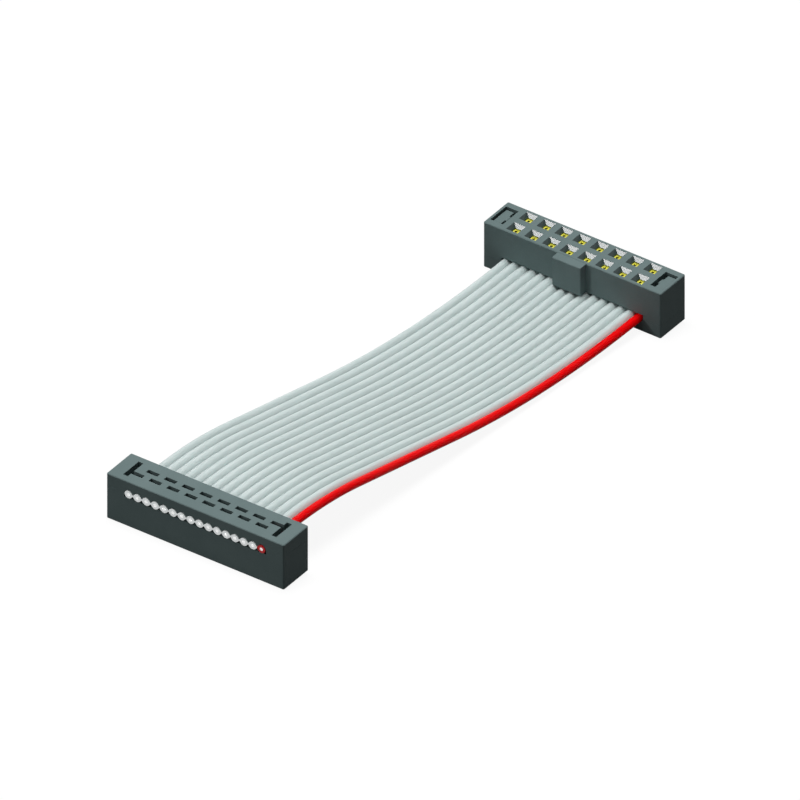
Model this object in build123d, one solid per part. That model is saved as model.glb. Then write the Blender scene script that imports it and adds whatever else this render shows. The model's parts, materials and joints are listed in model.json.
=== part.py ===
from build123d import *
import math
import os

# Flat ribbon cable with an insulation displacement socket pressed on to each end.
# Millimetres. In a connector's own frame the sockets open to +Z, the cable's middle plane is
# z = 0, the wires run along Y and leave the connector at its key side, -Y.

# Grid of the sockets
columns = 8
contact_pitch = 2.54
row_spacing = 2.54
blade_row_spacing = 1.27
wire_pitch = contact_pitch / 2
wires = 2 * columns

# Ribbon cable
wire_height = 1.05
wire_flat = 0.43
web_thickness = 0.21
conductor_width = 0.46
cut_end_proud = 0.05

# Lie of the cable. The distance is from one connector's key side to the same side of the other.
connector_distance = 76.0
connector_height_difference = 7.9
slope_angle = 13.46
upper_bend_radius = 62.2

# Connector shells
end_block = 2.54
side_wall = 0.405
cover_depth = 1.78
housing_depth = 4.62
corner_chamfer = 0.14
edge_chamfer = 0.09
cable_clearance = 0.05

# Socket holes in the mating face
mouth_width = 1.65
throat_width = 0.95
funnel_depth = 0.5
throat_depth = 0.15

# Key on the side that the cable leaves
key_width = 4.06
key_proud = 1.2
key_height = 4.0
key_chamfer = 0.08

# Slots in the back of the cover
blade_slot_width = 1.6
blade_slot_gap = 0.6
latch_slot_gap = 0.68
latch_slot_inset = 1.73
latch_slot_length = 3.16

# Latch legs of the cover, and the pockets of the housing that they snap into
leg_inset = 0.6
leg_thickness = 1.05
leg_width = 2.76
leg_recess = 0.28
leg_gap = 0.22
hook_width = 0.9
hook_reach = 0.26
hook_height = 0.7
hook_lead = 0.1
pocket_clearance = 0.08
pocket_length = 1.77

# Contact, stamped from strip
sheet_thickness = 0.2
blade_width = 1.15
blade_recess = 0.35
blade_lead_in = 0.4
fork_clearance = 0.03
grip_clearance = 0.01
channel_width = 1.2
channel_foot = 0.8
channel_height = 1.0
beam_gap = 0.34
beam_width = 0.95
tip_spread = 0.36
tip_height = 0.42
tip_recess = 0.08
contact_clearance = 0.06

# Sizes that follow
body_length = columns * contact_pitch + 2 * end_block
body_width = row_spacing + mouth_width + 2 * side_wall
fork_root = wire_height / 2 + fork_clearance
cavity_top = housing_depth - funnel_depth - throat_depth
beam_top = cavity_top - tip_recess
blade_x = -wire_pitch / 2
blade_y = blade_row_spacing / 2
pin_y = row_spacing / 2


def column_x(column):
    return (column - (columns - 1) / 2) * contact_pitch


def wire_x(wire):
    return (wire - (wires - 1) / 2) * wire_pitch


def block(x0, x1, y0, y1, z0, z1):
    """A plain block between two corners."""
    return Pos((x0 + x1) / 2, (y0 + y1) / 2, (z0 + z1) / 2) * Box(x1 - x0, y1 - y0, z1 - z0)


def ribbon_section(first, last, grow=0.0):
    """The cable's section over a run of wires: a flat and two slopes on each, and a web between.

    X is across the cable. A run that stops inside the cable is cut in the middle of a web."""
    top = wire_height / 2 + grow
    valley = web_thickness / 2 + grow
    half_flat = wire_flat / 2
    upper = []
    for wire in range(first, last + 1):
        x = wire_x(wire)
        upper += [(x - wire_pitch / 2, valley), (x - half_flat, top), (x + half_flat, top)]
    upper.append((wire_x(last) + wire_pitch / 2, valley))
    if first == 0:
        upper[0] = (wire_x(first) - top, half_flat)
    if last == wires - 1:
        upper[-1] = (wire_x(last) + top, half_flat)
    lower = [(x, -z) for x, z in reversed(upper)]
    return make_face(Polyline(upper + lower, close=True))


def both_row_places():
    """The frame of every contact: the far row faces one way and the near row is turned round."""
    places = []
    for column in range(columns):
        places.append(Pos(column_x(column), 0, 0))
        places.append(Pos(column_x(column), 0, 0) * Rot(0, 0, 180))
    return places


def blade_places():
    """Where each wire's blade stands, first wire first."""
    return [place * Pos(blade_x, blade_y, 0) for place in both_row_places()]


# Cable route in the YZ plane: level inside each connector, with two bends and a straight between.
# The lower connector's outlet is at y = 0 and the upper one's is at y = -cable_span.
cable_span = connector_distance - body_width
cable_drop = connector_height_difference + housing_depth - cover_depth
turn = math.radians(slope_angle)
both_radii = (cable_span * math.sin(turn) - cable_drop * math.cos(turn)) / (1 - math.cos(turn))
lower_bend_radius = both_radii - upper_bend_radius
slope_length = (cable_drop - both_radii * (1 - math.cos(turn))) / math.sin(turn)


def cable_route():
    """The cable's middle line, from the upper connector's cut end to the lower one's."""
    bend_end_y = -cable_span + upper_bend_radius * math.sin(turn)
    bend_end_z = cable_drop - upper_bend_radius * (1 - math.cos(turn))
    slope_end_y = bend_end_y + slope_length * math.cos(turn)
    slope_end_z = bend_end_z - slope_length * math.sin(turn)
    outlet = (0, -cable_span, cable_drop)
    bend_end = (0, bend_end_y, bend_end_z)
    slope_end = (0, slope_end_y, slope_end_z)
    level_length = body_width + cut_end_proud
    upper_level = Line((0, -cable_span - level_length, cable_drop), outlet)
    upper_bend = TangentArc([outlet, bend_end], tangent=(0, 1, 0))
    slope = Line(bend_end, slope_end)
    lower_bend = TangentArc([slope_end, (0, 0, 0)], tangent=(0, math.cos(turn), -math.sin(turn)))
    lower_level = Line((0, 0, 0), (0, level_length, 0))
    return Wire([upper_level, upper_bend, slope, lower_bend, lower_level])


def along_cable(section):
    """A section carried along the whole route."""
    start = Plane(origin=cable_route() @ 0, x_dir=(1, 0, 0), z_dir=(0, 1, 0))
    return sweep(start * section, path=cable_route())


def slit_cutters():
    """What the blades push aside: a slit each side of the conductor, out to the wire's edge."""
    reach = wire_pitch / 2
    bare = conductor_width / 2
    half_gap = sheet_thickness / 2 + contact_clearance
    slits = []
    for place in blade_places():
        for side in (-1, 1):
            low, high = sorted((side * bare, side * reach))
            slits.append(place * block(low, high, -half_gap, half_gap, -wire_height, wire_height))
    return slits


def contact():
    """A fork that straddles its wire, folded into a channel with two spring beams above."""
    plate_far = blade_y + sheet_thickness / 2
    half_blade = blade_width / 2
    half_slot = conductor_width / 2 + grip_clearance
    half_channel = channel_width / 2
    tip = -cover_depth + blade_recess
    channel_top = channel_foot + channel_height
    outline = [
        (-half_channel, channel_top),
        (half_channel, channel_top),
        (half_channel, channel_foot),
        (blade_x + half_blade, channel_foot),
        (blade_x + half_blade, tip),
        (blade_x + half_slot, tip + blade_lead_in),
        (blade_x + half_slot, fork_root),
        (blade_x - half_slot, fork_root),
        (blade_x - half_slot, tip + blade_lead_in),
        (blade_x - half_blade, tip),
        (blade_x - half_blade, channel_foot),
    ]
    sheet = make_face(Polyline(outline, close=True))
    plate = Pos(0, plate_far, 0) * extrude(Plane.XZ * sheet, sheet_thickness)
    half_gap = beam_gap / 2
    beam_outline = [
        (half_channel - sheet_thickness, channel_foot),
        (half_channel, channel_foot),
        (half_gap + sheet_thickness, beam_top - tip_height),
        (tip_spread + sheet_thickness, beam_top),
        (tip_spread, beam_top),
        (half_gap, beam_top - tip_height),
    ]
    strip = make_face(Polyline(beam_outline, close=True))
    beam = Pos(0, plate_far + beam_width, 0) * extrude(Plane.XZ * strip, beam_width)
    return plate + beam + mirror(beam, Plane.YZ)


def contact_cavity():
    """The room that one contact needs in the housing, with its hole in the mating face."""
    left = blade_x - blade_width / 2 - contact_clearance
    right = channel_width / 2 + contact_clearance
    near = blade_y - sheet_thickness / 2 - contact_clearance
    far = blade_y + sheet_thickness / 2 + beam_width + contact_clearance
    room = block(left, right, near, far, 0, cavity_top)
    throat = extrude(Pos(0, pin_y, cavity_top) * Rectangle(throat_width, throat_width), throat_depth)
    inset = (mouth_width - throat_width) / 2
    outset = inset + throat_width
    funnel = Wedge(mouth_width, funnel_depth, mouth_width, inset, inset, outset, outset,
                   align=(Align.CENTER, Align.MIN, Align.CENTER))
    return room + throat + Pos(0, pin_y, housing_depth) * Rot(-90, 0, 0) * funnel


def outer_block(z0, z1):
    """A connector's outer block between two levels."""
    plan = Rectangle(body_length, body_width)
    plan = chamfer(plan.vertices(), corner_chamfer)
    return Pos(0, 0, z0) * extrude(plan, z1 - z0)


def cable_bed():
    """The scalloped bed of the cable in the cover, a little larger than the cable."""
    section = ribbon_section(0, wires - 1, cable_clearance)
    return extrude(Plane.XZ * section, body_width / 2, both=True)


def cable_room():
    """The flat-roofed room for the cable in the housing, open at both long faces."""
    half_length = wire_x(wires - 1) + blade_width / 2 + contact_clearance
    return block(-half_length, half_length, -body_width / 2, body_width / 2,
                 0, wire_height / 2 + cable_clearance)


def leg_faces():
    """The outer and inner faces of the latch leg at the -X end."""
    outer = -body_length / 2 + leg_inset
    return outer, outer + leg_thickness


def cover():
    """Back cover that presses the cable on to the blades and latches in the housing."""
    shell = outer_block(-cover_depth, 0)
    shell = chamfer(shell.faces().sort_by(Axis.Z)[0].edges(), edge_chamfer)
    shell -= cable_bed()
    for place in blade_places():
        shell -= place * block(-blade_slot_width / 2, blade_slot_width / 2,
                               -blade_slot_gap / 2, blade_slot_gap / 2, -cover_depth, 0)
    slot_outer = -body_length / 2 + latch_slot_inset
    slot_inner = slot_outer + latch_slot_gap
    half_slot = latch_slot_length / 2
    first_blade_x = wire_x(0)
    latch_slot = block(slot_outer, slot_inner, -half_slot, half_slot, -cover_depth, 0)
    latch_slot += block(slot_inner, first_blade_x, blade_y - blade_slot_gap / 2,
                        blade_y + blade_slot_gap / 2, -cover_depth, 0)
    outer, inner = leg_faces()
    leg_top = housing_depth - leg_recess
    leg = block(outer, inner, -leg_width / 2, leg_width / 2, 0, leg_top)
    hook_outline = [
        (inner, leg_top - hook_height),
        (inner + hook_reach, leg_top - hook_height),
        (inner + hook_reach, leg_top - hook_lead),
        (inner + hook_reach - hook_lead, leg_top),
        (inner, leg_top),
    ]
    hook_face = make_face(Polyline(hook_outline, close=True))
    leg += Pos(0, hook_width / 2, 0) * extrude(Plane.XZ * hook_face, hook_width)
    for turned in (0, 180):
        shell -= Rot(0, 0, turned) * latch_slot
        shell += Rot(0, 0, turned) * leg
    return shell


def housing():
    """Socket housing with sixteen contact cavities, the key and the two latch pockets."""
    shell = outer_block(0, housing_depth)
    shell = chamfer(shell.faces().sort_by(Axis.Z)[-1].edges(), edge_chamfer)
    key = block(-key_width / 2, key_width / 2, -body_width / 2 - key_proud, -body_width / 2,
                housing_depth - key_height, housing_depth)
    key_front = key.faces().sort_by(Axis.Y)[0]
    shell += chamfer(key_front.edges(), key_chamfer)
    shell -= cable_room()
    cavity = contact_cavity()
    for place in both_row_places():
        shell -= place * cavity
    leg_outer, leg_inner = leg_faces()
    outer = leg_outer - leg_gap
    half_pocket = leg_width / 2 + leg_gap
    ledge = housing_depth - leg_recess - hook_height - pocket_clearance
    pocket = block(outer, leg_inner + pocket_clearance, -half_pocket, half_pocket,
                   0, housing_depth)
    pocket += block(outer, outer + pocket_length, -half_pocket, half_pocket,
                    ledge, housing_depth)
    for turned in (0, 180):
        shell -= Rot(0, 0, turned) * pocket
    return shell


# The lower connector stands with its sockets up, and the upper one is turned over.
lower_place = Pos(0, body_width / 2, 0)
upper_place = Pos(0, -cable_span - body_width / 2, cable_drop) * Rot(180, 0, 0)
places = {"right": lower_place, "left": upper_place}

pieces = {}
socket_housing = housing()
cable_cover = cover()
socket_contact = contact()
for side, place in places.items():
    pieces["socket_housing_" + side] = place * socket_housing
    pieces["cable_cover_" + side] = place * cable_cover
    for number, spot in enumerate(both_row_places(), start=1):
        pieces[f"contact_{side}_{number:02d}"] = place * spot * socket_contact

red_wire = wires - 1
cable = {
    "ribbon_cable": along_cable(ribbon_section(0, red_wire - 1)),
    "red_edge_wire": along_cable(ribbon_section(red_wire, red_wire)),
}
slits = [place * slit for place in places.values() for slit in slit_cutters()]
for name, whole in cable.items():
    pieces[name] = whole - slits

# At rest both connectors stand on their outer long edges, so the whole assembly leans a little.
lean = Rot(math.degrees(math.atan2(connector_height_difference, connector_distance)), 0, 0)
leaning = {name: lean * piece for name, piece in pieces.items()}
boxes = [piece.bounding_box() for piece in leaning.values()]
middle_y = (min(box.min.Y for box in boxes) + max(box.max.Y for box in boxes)) / 2
stand = Pos(0, -middle_y, -min(box.min.Z for box in boxes))

os.makedirs("parts", exist_ok=True)
for name, piece in leaning.items():
    export_step(stand * piece, f"parts/{name}.step")
print("bend radii", round(upper_bend_radius, 1), round(lower_bend_radius, 1))
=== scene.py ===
import json
import math

import bmesh
import bpy
from mathutils import Matrix, Vector


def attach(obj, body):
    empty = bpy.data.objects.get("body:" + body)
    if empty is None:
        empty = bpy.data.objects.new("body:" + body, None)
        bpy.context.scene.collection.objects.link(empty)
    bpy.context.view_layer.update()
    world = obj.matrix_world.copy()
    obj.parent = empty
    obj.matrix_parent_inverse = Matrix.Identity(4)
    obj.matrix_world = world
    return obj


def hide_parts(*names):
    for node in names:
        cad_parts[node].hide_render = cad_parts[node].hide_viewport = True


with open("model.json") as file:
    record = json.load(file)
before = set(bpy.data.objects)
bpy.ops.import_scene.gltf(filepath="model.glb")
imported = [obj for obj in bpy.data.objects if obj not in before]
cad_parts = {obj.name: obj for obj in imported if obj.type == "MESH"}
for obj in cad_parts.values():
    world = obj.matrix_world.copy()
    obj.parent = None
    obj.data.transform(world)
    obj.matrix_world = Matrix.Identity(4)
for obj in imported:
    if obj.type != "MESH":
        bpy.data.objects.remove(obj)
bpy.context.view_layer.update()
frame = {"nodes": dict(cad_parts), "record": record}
mm = 0.001


# Camera. The photograph is a parallel view of the assembly with its connectors level, and the
# part stands leaning a little on their outer edges, so the camera leans with it.

view_azimuth = math.radians(35.38)
view_elevation = math.radians(35.27)
view_width = 93.4 * mm
view_middle = Vector((0.0, -34.68 * mm, 4.32 * mm))
camera_distance = 0.6
body_width = 5.0 * mm
housing_depth = 4.62 * mm

mounts = {mount["name"]: mount for mount in frame["record"]["mounts"]}


def turned(across, along, up):
    """The rotation whose columns are these three unit vectors."""
    return Matrix((across, along, up)).transposed().to_4x4()


def connector_frame(side):
    """Places a connector's own frame: its sockets open to +Z, and its cable lies at z = 0."""
    face = mounts["mating_face_" + side]
    up = Vector(face["axis"]).normalized()
    across = Vector((1.0, 0.0, 0.0))
    origin = Vector(face["pos_m"]) - up * housing_depth
    return Matrix.Translation(origin) @ turned(across, up.cross(across), up)


cable_frame = connector_frame("right") @ Matrix.Translation((0.0, -body_width / 2, 0.0))
view_back = Vector((math.sin(view_azimuth) * math.cos(view_elevation),
                    -math.cos(view_azimuth) * math.cos(view_elevation),
                    math.sin(view_elevation)))
view_right = Vector((math.cos(view_azimuth), math.sin(view_azimuth), 0.0))

camera_data = bpy.data.cameras.new("camera")
camera_data.type = "ORTHO"
camera_data.ortho_scale = view_width
camera_data.clip_start = 0.01
camera_data.clip_end = 10.0
camera = bpy.data.objects.new("camera", camera_data)
bpy.context.scene.collection.objects.link(camera)
camera.matrix_world = (cable_frame @ Matrix.Translation(view_middle)
                       @ turned(view_right, view_back.cross(view_right), view_back)
                       @ Matrix.Translation((0.0, 0.0, camera_distance)))
bpy.context.scene.camera = camera
bpy.context.scene.view_settings.view_transform = "Standard"


# Moulded shells. Each connector has a glass-filled polyester housing and a cover pressed on to its
# back. They come from steel moulds, so the faces are matt and every outer edge has a tiny radius.
# The socket lead-ins are smoother, as polished core pins form them; their darker colour is painted
# shade.

shell_edge_radius = 0.03 * mm
joint_edge_radius = 0.012 * mm
merge_distance = 0.0005 * mm
flat_angle = math.radians(1.0)
sharp_angle = math.radians(50.0)
funnel_depth = 0.5 * mm
funnel_inset = 0.35 * mm
lead_in_slope = funnel_inset / math.hypot(funnel_inset, funnel_depth)
slope_tolerance = 0.05


class Value:
    """A number in a shader. Arithmetic on it adds the Math nodes that work it out."""

    def __init__(self, finish, socket):
        self.finish = finish
        self.socket = socket

    def combined(self, operation, other):
        return self.finish.node("ShaderNodeMath", {"operation": operation}, {0: self, 1: other})

    def larger(self, other):
        return self.combined("MAXIMUM", other)

    def __add__(self, other):
        return self.combined("ADD", other)

    def __mul__(self, other):
        return self.combined("MULTIPLY", other)

    __radd__ = __add__
    __rmul__ = __mul__


class Finish:
    """The nodes of a material or world. Its node method adds any node and gives one output back."""

    def __init__(self, owner):
        self.owner = owner
        self.owner.use_nodes = True
        self.tree = owner.node_tree
        self.tree.nodes.clear()

    def node(self, kind, settings=None, inputs=None, output=0):
        made = self.tree.nodes.new(kind)
        for key, setting in (settings or {}).items():
            setattr(made, key, setting)
        for key, given in (inputs or {}).items():
            socket = made.inputs[key]
            if isinstance(given, Value):
                self.tree.links.new(given.socket, socket)
            elif socket.type == "RGBA":
                socket.default_value = (*given, 1.0)
            else:
                socket.default_value = given
        return Value(self, made.outputs[output]) if len(made.outputs) else None

    def coordinates(self, scale=(1.0, 1.0, 1.0)):
        """The piece's own coordinates in metres, stretched by scale."""
        place = self.node("ShaderNodeTexCoord", output="Object")
        return self.node("ShaderNodeMapping", None, {"Vector": place, "Scale": scale})

    def noise(self, place, grain_size, detail):
        """Even noise from 0 to 1 with features of about that size in metres."""
        settings = {"noise_dimensions": "3D", "normalize": True}
        inputs = {"Vector": place, "Scale": 1.0 / grain_size, "Detail": detail}
        return self.node("ShaderNodeTexNoise", settings, inputs, "Fac")

    def mix(self, share, first, second):
        """From the first colour to the second as share goes from 0 to 1."""
        settings = {"data_type": "RGBA", "blend_type": "MIX"}
        return self.node("ShaderNodeMix", settings, {0: share, 6: first, 7: second}, 2)

    def bump(self, height, depth):
        """The surface's normal where height from 0 to 1 raises it by up to depth."""
        return self.node("ShaderNodeBump", None, {"Height": height, "Distance": depth})

    def surface(self, inputs):
        """Closes a material with one shader that has these inputs."""
        shader = self.node("ShaderNodeBsdfPrincipled", None, inputs)
        self.node("ShaderNodeOutputMaterial", None, {"Surface": shader})
        return self.owner


def slate_plastic():
    finish = Finish(bpy.data.materials.new("moulded_slate"))
    place = finish.coordinates()
    flow = finish.noise(finish.coordinates((1.0, 0.35, 1.0)), 2.6 * mm, 3.0)
    spark = finish.noise(place, 0.16 * mm, 4.0)
    pits = finish.noise(place, 0.05 * mm, 2.0)
    tone = flow * 0.6 + spark * 0.4
    return finish.surface({
        "Base Color": finish.mix(tone, (0.108, 0.152, 0.152), (0.158, 0.208, 0.208)),
        "Roughness": 0.34 + spark * 0.18,
        "Specular IOR Level": 0.02,
        "Normal": finish.bump(spark * 0.5 + pits * 0.5, 0.006 * mm),
    })


def polished_slate_painted_shade():
    # Polished plastic for the lead-ins. Its base colour is darker than the moulded plastic: painted
    # shade.
    finish = Finish(bpy.data.materials.new("polished_slate_painted_shade"))
    cloud = finish.noise(finish.coordinates(), 0.5 * mm, 3.0)
    return finish.surface({
        "Base Color": finish.mix(cloud, (0.048, 0.070, 0.072), (0.064, 0.090, 0.092)),
        "Roughness": 0.08 + cloud * 0.02,
        "Specular IOR Level": 0.17,
    })


def merged_copy(name):
    """A bmesh of a CAD node with its loose triangles joined into whole flat faces."""
    bm = bmesh.new()
    bm.from_mesh(frame["nodes"][name].data)
    bmesh.ops.remove_doubles(bm, verts=bm.verts, dist=merge_distance)
    bmesh.ops.dissolve_limit(bm, angle_limit=flat_angle, verts=bm.verts, edges=bm.edges,
                             use_dissolve_boundaries=False, delimit=set())
    return bm


def is_lead_in(face, to_connector):
    """Whether this face slopes as the funnel of a socket does."""
    slope = (to_connector.to_3x3() @ face.normal).z
    return abs(slope - lead_in_slope) < slope_tolerance


def outer_corners(bm, to_connector, at_joint):
    """The sharp edges that stand out, either those where housing and cover meet or all others."""
    return [edge for edge in bm.edges if edge.calc_face_angle_signed(0.0) > sharp_angle
            and at_joint == all(abs((to_connector @ corner.co).z) < joint_edge_radius
                                for corner in edge.verts)]


def soften(bm, edges, radius, steps):
    """Rounds these edges and shades only the rounded strips smooth."""
    made = bmesh.ops.bevel(bm, geom=edges, offset=radius, offset_type="OFFSET", affect="EDGES",
                           segments=steps, profile=0.5, material=-1, clamp_overlap=True)
    for face in made["faces"]:
        face.smooth = True


def finished(bm, name, materials, slot=None, replaced=()):
    """Turns the mesh into a piece that rides on the part and stands for its CAD nodes."""
    mesh = bpy.data.meshes.new(name)
    bm.to_mesh(mesh)
    bm.free()
    for material in materials:
        mesh.materials.append(material)
    piece = bpy.data.objects.new(name, mesh)
    bpy.context.scene.collection.objects.link(piece)
    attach(piece, "root")
    if replaced:
        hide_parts(*replaced)


shell_materials = [slate_plastic(), polished_slate_painted_shade()]
for side in ("left", "right"):
    to_connector = connector_frame(side).inverted()
    for shell in ("socket_housing_", "cable_cover_"):
        bm = merged_copy(shell + side)
        for face in bm.faces:
            # Lead-in faces get the polished plastic, whose darker colour is painted shade.
            face.material_index = int(is_lead_in(face, to_connector))
        soften(bm, outer_corners(bm, to_connector, at_joint=False), shell_edge_radius, steps=2)
        soften(bm, outer_corners(bm, to_connector, at_joint=True), joint_edge_radius, steps=1)
        finished(bm, shell + side + "_moulding", shell_materials, "slate_plastic", [shell + side])


# Contacts. Each one is stamped and folded from nickel plated strip, and its two spring beams are
# gold plated. The fork at the foot cuts through the insulation of one wire. The rolled tips of
# the beams close over the socket's throat, with a round notch that leads the header's pin in.

columns = 8
contact_pitch = 2.54 * mm
row_spacing = 2.54 * mm
pin_y = row_spacing / 2
strip_thickness = 0.2 * mm
nickel_index = 1
fork_back = 0.535 * mm
fork_edge_radius = 0.03 * mm
tip_thickness = 0.1 * mm
tip_half_width = 0.455 * mm
tip_gap = 0.02 * mm
tip_top = 4.05 * mm
roll_start = 0.36 * mm
notch_radius = 0.17 * mm
notch_steps = 8
channel_top = 1.7 * mm
channel_reach = 0.08 * mm
fork_outline = [(-0.6, 1.8), (0.6, 1.8), (0.6, 0.8), (-0.06, 0.8), (-0.06, -1.43), (-0.395, -1.03),
                (-0.395, 0.555), (-0.875, 0.555), (-0.875, -1.03), (-1.21, -1.43), (-1.21, 0.8),
                (-0.6, 0.8)]
beam_path = [(0.40, 4.035), (0.435, 4.0), (0.445, 3.93), (0.42, 3.8), (0.33, 3.56), (0.30, 3.42),
             (0.32, 3.25), (0.38, 2.9), (0.47, 2.4), (0.55, 1.95), (0.59, 1.75), (0.60, 1.6),
             (0.60, 0.8)]


def gold_plating():
    finish = Finish(bpy.data.materials.new("plated_gold"))
    cloud = finish.noise(finish.coordinates(), 0.7 * mm, 3.0)
    drawn = finish.noise(finish.coordinates((1.0, 1.0, 0.08)), 0.05 * mm, 3.0)
    return finish.surface({
        "Base Color": finish.mix(cloud, (0.86, 0.80, 0.075), (0.95, 0.92, 0.13)),
        "Metallic": 1.0,
        "Roughness": 0.20 + drawn * 0.16,
        "Normal": finish.bump(drawn, 0.002 * mm),
    })


def nickel_plating():
    finish = Finish(bpy.data.materials.new("plated_nickel"))
    dull = finish.noise(finish.coordinates(), 0.25 * mm, 4.0)
    return finish.surface({
        "Base Color": finish.mix(dull, (0.20, 0.22, 0.23), (0.30, 0.32, 0.33)),
        "Metallic": 1.0,
        "Roughness": 0.36 + dull * 0.2,
        "Normal": finish.bump(dull, 0.003 * mm),
    })


def only(kind, items):
    """The vertices, edges or faces in what an operator gives back."""
    return [item for item in items if isinstance(item, kind)]


def fork():
    """The flat plate: its slot grips the conductor, and its top is the back of the channel."""
    bm = bmesh.new()
    ring = [bm.verts.new((x * mm, fork_back, z * mm)) for x, z in fork_outline]
    plate = bm.faces.new(ring)
    made = bmesh.ops.extrude_face_region(bm, geom=[plate])["geom"]
    bmesh.ops.translate(bm, verts=only(bmesh.types.BMVert, made), vec=(0.0, strip_thickness, 0.0))
    sharp = [edge for edge in bm.edges if edge.calc_face_angle(0.0) > sharp_angle]
    soften(bm, sharp, fork_edge_radius, steps=1)
    for face in bm.faces:
        face.material_index = nickel_index
    return bm


def beam(hand):
    """One spring beam, or its mirror image where hand is -1. The notched tip is spun and closed
    first, then carried down to the foot, where the strip widens to meet the plate."""
    bm = bmesh.new()
    start = bm.verts.new((tip_gap, pin_y - notch_radius, tip_top))
    bmesh.ops.spin(bm, geom=[start], cent=(tip_gap, pin_y, tip_top), axis=(0.0, 0.0, 1.0),
                   angle=math.pi, steps=notch_steps, use_merge=False, use_duplicate=False)
    notch = list(bm.verts)
    corners = [bm.verts.new((x, pin_y + way * tip_half_width, tip_top))
               for x, way in ((tip_gap, 1), (roll_start, 1), (roll_start, -1), (tip_gap, -1))]
    tip = bm.faces.new(notch + corners)
    edges = [bm.edges.get(corners[1:3])]
    strip = [tip]
    for x, z in beam_path:
        made = bmesh.ops.extrude_edge_only(bm, edges=edges)["geom"]
        strip += only(bmesh.types.BMFace, made)
        edges = only(bmesh.types.BMEdge, made)
        for corner in only(bmesh.types.BMVert, made):
            reach = channel_reach if z * mm < channel_top and corner.co.y < pin_y else 0.0
            half_width = math.copysign(tip_half_width, corner.co.y - pin_y)
            corner.co = (x * mm, pin_y + half_width - reach, z * mm)
    bmesh.ops.recalc_face_normals(bm, faces=strip)
    if tip.normal.z < 0.0:
        bmesh.ops.reverse_faces(bm, faces=strip)
    bmesh.ops.solidify(bm, geom=strip, thickness=tip_thickness)
    for face in bm.faces:
        face.smooth = len(face.verts) == 4
    bmesh.ops.scale(bm, vec=(hand, 1.0, 1.0), verts=bm.verts)
    return bm


contact = bmesh.new()
for bm in (fork(), beam(1.0), beam(-1.0)):
    bmesh.ops.recalc_face_normals(bm, faces=bm.faces)
    shape = bpy.data.meshes.new("contact_shape")
    bm.to_mesh(shape)
    bm.free()
    contact.from_mesh(shape)
    bpy.data.meshes.remove(shape)

platings = [gold_plating(), nickel_plating()]
for side in ("left", "right"):
    for number in range(2 * columns):
        column_x = (number // 2 - (columns - 1) / 2) * contact_pitch
        row_turn = Matrix.Rotation(math.pi * (number % 2), 4, "Z")
        bm = contact.copy()
        bmesh.ops.transform(bm, verts=bm.verts, matrix=(
            connector_frame(side) @ Matrix.Translation((column_x, 0.0, 0.0)) @ row_turn))
        node = f"contact_{side}_{number + 1:02d}"
        finished(bm, node + "_formed", platings, "gold_contact", [node])
contact.free()


# Ribbon cable. Fifteen grey wires and a red one at the edge, extruded side by side in PVC with a
# thin web between neighbours. Both ends are cut flush just outside the connectors.

wires = 2 * columns
wire_pitch = contact_pitch / 2
wire_radius = 0.525 * mm
half_web = 0.105 * mm
web_step = 0.02 * mm
web_fillet = 0.05 * mm
shoulder_fillet = 0.055 * mm
cover_depth = 1.78 * mm
cut_end_proud = 0.05 * mm
connector_distance = 76.0 * mm
height_difference = 7.9 * mm
slope_angle = math.radians(13.46)
upper_bend_radius = 62.2 * mm
lower_bend_radius = 159.2 * mm
bend_steps = 40
slope_steps = 12
level_steps = 4

cable_span = connector_distance - body_width
cable_drop = height_difference + housing_depth - cover_depth
bends_drop = (upper_bend_radius + lower_bend_radius) * (1 - math.cos(slope_angle))
slope_length = (cable_drop - bends_drop) / math.sin(slope_angle)
level_length = body_width + cut_end_proud


def wire_x(wire):
    return (wire - (wires - 1) / 2) * wire_pitch


def cable_profile(bm, first, last, start_y):
    """One closed face: an octagon round each wire, rounded to just short of the middle of its
    sides, with flat webs between."""
    eighth = wire_radius * math.tan(math.pi / 8)
    foot = wire_radius + web_step
    corners = []
    for wire in range(first, last + 1):
        x = wire_x(wire)
        if wire == 0:
            corners += [(x - wire_radius, eighth, "round")]
        else:
            if wire == first:
                corners += [(x - wire_pitch / 2, half_web, "plain")]
            corners += [(x - foot, half_web, "fillet"), (x - wire_radius, eighth, "shoulder")]
        corners += [(x - eighth, wire_radius, "round"), (x + eighth, wire_radius, "round")]
        if wire == wires - 1:
            corners += [(x + wire_radius, eighth, "round")]
        else:
            corners += [(x + wire_radius, eighth, "shoulder"), (x + foot, half_web, "fillet")]
            if wire == last:
                corners += [(x + wire_pitch / 2, half_web, "plain")]
    kinds = {"round": [], "shoulder": [], "fillet": [], "plain": []}
    ring = []
    for sign, row in ((1, corners), (-1, reversed(corners))):
        for x, z, kind in row:
            corner = bm.verts.new((x, start_y, sign * z))
            kinds[kind].append(corner)
            ring.append(corner)
    bm.faces.new(ring)
    round_reach = eighth * 0.995
    for kind, radius, steps in (("fillet", web_fillet, 2), ("shoulder", shoulder_fillet, 2),
                                ("round", round_reach, 5)):
        if kinds[kind]:
            bmesh.ops.bevel(bm, geom=kinds[kind], offset=radius, offset_type="OFFSET",
                            affect="VERTICES", segments=steps, profile=0.5, material=-1)


def run_on(bm, edges, step, pieces):
    """Carries the profile straight on, in even pieces."""
    for _ in range(pieces):
        made = bmesh.ops.extrude_edge_only(bm, edges=edges)["geom"]
        bmesh.ops.translate(bm, verts=only(bmesh.types.BMVert, made), vec=step / pieces)
        edges = only(bmesh.types.BMEdge, made)
    return edges


def bend(bm, edges, centre, angle):
    """Carries the profile round a bend."""
    made = bmesh.ops.spin(bm, geom=edges, cent=centre, axis=(1.0, 0.0, 0.0), angle=angle,
                          steps=bend_steps, use_duplicate=False, use_merge=False)
    return only(bmesh.types.BMEdge, made["geom_last"])


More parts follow.
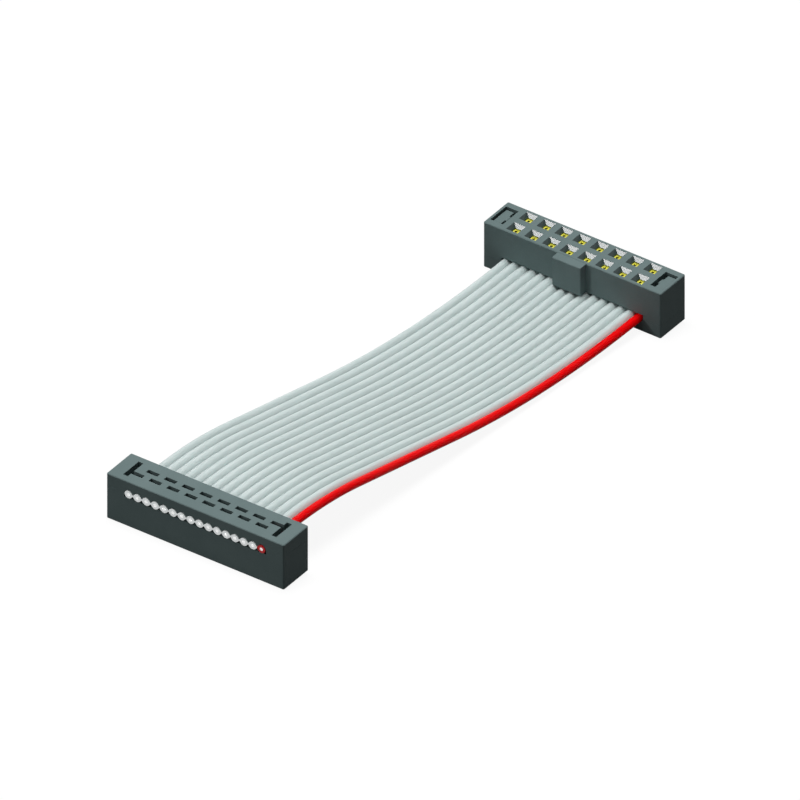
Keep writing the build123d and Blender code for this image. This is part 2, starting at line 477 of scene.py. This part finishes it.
def ribbon(first, last):
    """The cable's skin over a run of wires, from one cut end to the other."""
    level = Vector((0.0, level_length, 0.0))
    downhill = Vector((0.0, math.cos(slope_angle), -math.sin(slope_angle)))
    bm = bmesh.new()
    cable_profile(bm, first, last, -cable_span - level_length)
    bmesh.ops.translate(bm, verts=bm.verts, vec=(0.0, 0.0, cable_drop))
    edges = run_on(bm, list(bm.edges), level, level_steps)
    edges = bend(bm, edges, (0.0, -cable_span, cable_drop - upper_bend_radius), -slope_angle)
    edges = run_on(bm, edges, downhill * slope_length, slope_steps)
    edges = bend(bm, edges, (0.0, 0.0, lower_bend_radius), slope_angle)
    edges = run_on(bm, edges, level, level_steps)
    bmesh.ops.contextual_create(bm, geom=edges)
    bmesh.ops.recalc_face_normals(bm, faces=bm.faces)
    for face in bm.faces:
        cut_end = len(face.verts) > 4
        face.smooth = not cut_end
        face.material_index = int(cut_end)
    return bm


def pvc(name, pale, deep, gloss, depth):
    """Drawn PVC with fine lines along the wires. Light goes in to about depth, in metres."""
    finish = Finish(bpy.data.materials.new(name))
    drawn = finish.noise(finish.coordinates((1.0, 0.03, 1.0)), 0.12 * mm, 3.0)
    cloud = finish.noise(finish.coordinates((1.0, 0.25, 1.0)), 1.8 * mm, 3.0)
    skin = finish.noise(finish.coordinates(), 0.09 * mm, 3.0)
    return finish.surface({
        "Base Color": finish.mix(drawn * 0.5 + cloud * 0.5, deep, pale),
        "Roughness": 0.34 + skin * 0.2,
        "Specular IOR Level": gloss,
        "Subsurface Weight": 0.95,
        "Subsurface Radius": (1.0, 1.0, 1.0),
        "Subsurface Scale": depth,
        "Normal": finish.bump(drawn * 0.7 + skin * 0.3, 0.006 * mm),
    })


def cut_pvc(name, pale, deep, index, gloss):
    """PVC where a blade has sheared it, glossier than the skin."""
    finish = Finish(bpy.data.materials.new(name))
    sheared = finish.noise(finish.coordinates((1.0, 1.0, 0.15)), 0.05 * mm, 3.0)
    return finish.surface({
        "Base Color": finish.mix(sheared, deep, pale),
        "Roughness": 0.24 + sheared * 0.2,
        "IOR": index,
        "Specular IOR Level": gloss,
        "Coat Weight": gloss,
        "Coat IOR": index,
        "Coat Roughness": 0.2,
        "Normal": finish.bump(sheared, 0.002 * mm),
    })


grey_finishes = [pvc("drawn_grey_pvc", (0.555, 0.63, 0.622), (0.47, 0.54, 0.535), 0.35, 0.8 * mm),
                 cut_pvc("cut_grey_pvc", (0.88, 0.97, 0.97), (0.78, 0.89, 0.89), 2.3, 1.0)]
red_finishes = [pvc("drawn_red_pvc", (1.0, 0.001, 0.002), (0.96, 0.0, 0.001), 0.06, 3.0 * mm),
                cut_pvc("cut_red_pvc", (1.0, 0.005, 0.01), (0.9, 0.0, 0.005), 1.5, 0.2)]
for name, first, last, finishes, slot in (
        ("ribbon_cable", 0, wires - 2, grey_finishes, "grey_pvc"),
        ("red_edge_wire", wires - 1, wires - 1, red_finishes, "red_pvc")):
    bm = ribbon(first, last)
    bmesh.ops.transform(bm, matrix=cable_frame, verts=bm.verts)
    finished(bm, name + "_skin", finishes, slot, [name])


# Strand ends. Each wire has seven tinned copper strands, twisted together, and the cut leaves
# their ends a hair proud of the insulation at both ends of the cable.

strands = 7
strand_radius = 0.077 * mm
strand_lay = 0.155 * mm
strand_proud = 0.02 * mm
strand_stub = 0.08 * mm
strand_edge_radius = 0.012 * mm
strand_sides = 10
strand_turn = math.radians(60.0)
wire_turn = math.radians(23.0)


def tinned_copper():
    finish = Finish(bpy.data.materials.new("tinned_strand"))
    sheared = finish.noise(finish.coordinates((1.0, 1.0, 0.2)), 0.03 * mm, 2.0)
    return finish.surface({
        "Base Color": finish.mix(sheared, (0.84, 0.85, 0.85), (0.94, 0.94, 0.93)),
        "Metallic": 1.0,
        "Roughness": 0.18 + sheared * 0.2,
        "Normal": finish.bump(sheared, 0.002 * mm),
    })


def strand_end(bm, x, z):
    """A short round stub that stands along the wire."""
    made = bmesh.ops.create_cone(bm, cap_ends=True, segments=strand_sides, radius1=strand_radius,
                                 radius2=strand_radius, depth=strand_stub)
    bmesh.ops.rotate(bm, verts=made["verts"], cent=(0.0, 0.0, 0.0),
                     matrix=Matrix.Rotation(math.radians(90.0), 3, "X"))
    bmesh.ops.translate(bm, verts=made["verts"], vec=(x, -strand_proud, z))


tinned = tinned_copper()
for side in ("left", "right"):
    bm = bmesh.new()
    for wire in range(wires):
        for strand in range(strands):
            lay = strand_lay if strand else 0.0
            around = strand_turn * strand + wire_turn * wire
            strand_end(bm, wire_x(wire) + lay * math.cos(around), lay * math.sin(around))
    rims = [edge for edge in bm.edges if edge.calc_face_angle(0.0) > sharp_angle]
    soften(bm, rims, strand_edge_radius, steps=1)
    to_cut_end = Matrix.Translation((0.0, body_width / 2 + cut_end_proud, 0.0))
    bmesh.ops.transform(bm, matrix=connector_frame(side) @ to_cut_end, verts=bm.verts)
    finished(bm, "strand_ends_" + side, [tinned])


# Floor and light. A plain pale sheet, a wide soft lamp overhead, a smaller lamp from low on the
# left in front, which the lead-ins of the sockets mirror, and a little light from all round.

white = (1.0, 1.0, 1.0)
world_light = 0.05
sheet_size = 2.0
sheet_glow = 0.92


def seen_directly(finish):
    """1 for the rays that show the surroundings, and 0 for those that only carry their light."""
    camera_ray, glossy_ray, transmission_ray = [
        finish.node("ShaderNodeLightPath", output=name)
        for name in ("Is Camera Ray", "Is Glossy Ray", "Is Transmission Ray")]
    return camera_ray.larger(glossy_ray.larger(transmission_ray))


def pale_sheet():
    """White where it is seen, with shadows on it, but it throws little light back on the part."""
    finish = Finish(bpy.data.materials.new("pale_sheet"))
    fibre = finish.noise(finish.coordinates(), 3.0 * mm, 3.0)
    paper = finish.node("ShaderNodeBsdfDiffuse", None, {
        "Color": finish.mix(fibre, (0.96, 0.96, 0.96), white)})
    glow = finish.node("ShaderNodeEmission", None, {"Color": white, "Strength": 1.0})
    shown = finish.node("ShaderNodeMixShader", None, {0: sheet_glow, 1: paper, 2: glow})
    dim = finish.node("ShaderNodeBsdfDiffuse", None, {"Color": (0.10, 0.10, 0.10)})
    both = finish.node("ShaderNodeMixShader", None, {0: seen_directly(finish), 1: dim, 2: shown})
    finish.node("ShaderNodeOutputMaterial", None, {"Surface": both})
    return finish.owner


bm = bmesh.new()
bmesh.ops.create_grid(bm, x_segments=1, y_segments=1, size=sheet_size)
floor_mesh = bpy.data.meshes.new("floor")
bm.to_mesh(floor_mesh)
bm.free()
floor_mesh.materials.append(pale_sheet())
floor = bpy.data.objects.new("floor", floor_mesh)
bpy.context.scene.collection.objects.link(floor)

surround = Finish(bpy.data.worlds.new("surround"))
brightness = seen_directly(surround) * (1.0 - world_light) + world_light
sky = surround.node("ShaderNodeBackground", None, {"Color": white, "Strength": brightness})
surround.node("ShaderNodeOutputWorld", None, {"Surface": sky})
bpy.context.scene.world = surround.owner


def lamp(name, direction, distance, power, size):
    """A square soft lamp that shines on the right connector from this direction."""
    towards = (cable_frame.to_3x3() @ Vector(direction)).normalized()
    data = bpy.data.lights.new(name, "AREA")
    data.shape = "SQUARE"
    data.size = size
    data.energy = power
    placed = bpy.data.objects.new(name, data)
    bpy.context.scene.collection.objects.link(placed)
    placed.location = cable_frame.translation + towards * distance
    placed.rotation_mode = "QUATERNION"
    placed.rotation_quaternion = towards.to_track_quat("Z", "Y")


lamp("overhead_lamp", direction=(-0.08, 0.02, 0.997), distance=1.2, power=15.6, size=0.5)
lamp("front_left_lamp", direction=(-0.465, -0.765, 0.445), distance=1.5, power=4.0, size=0.18)
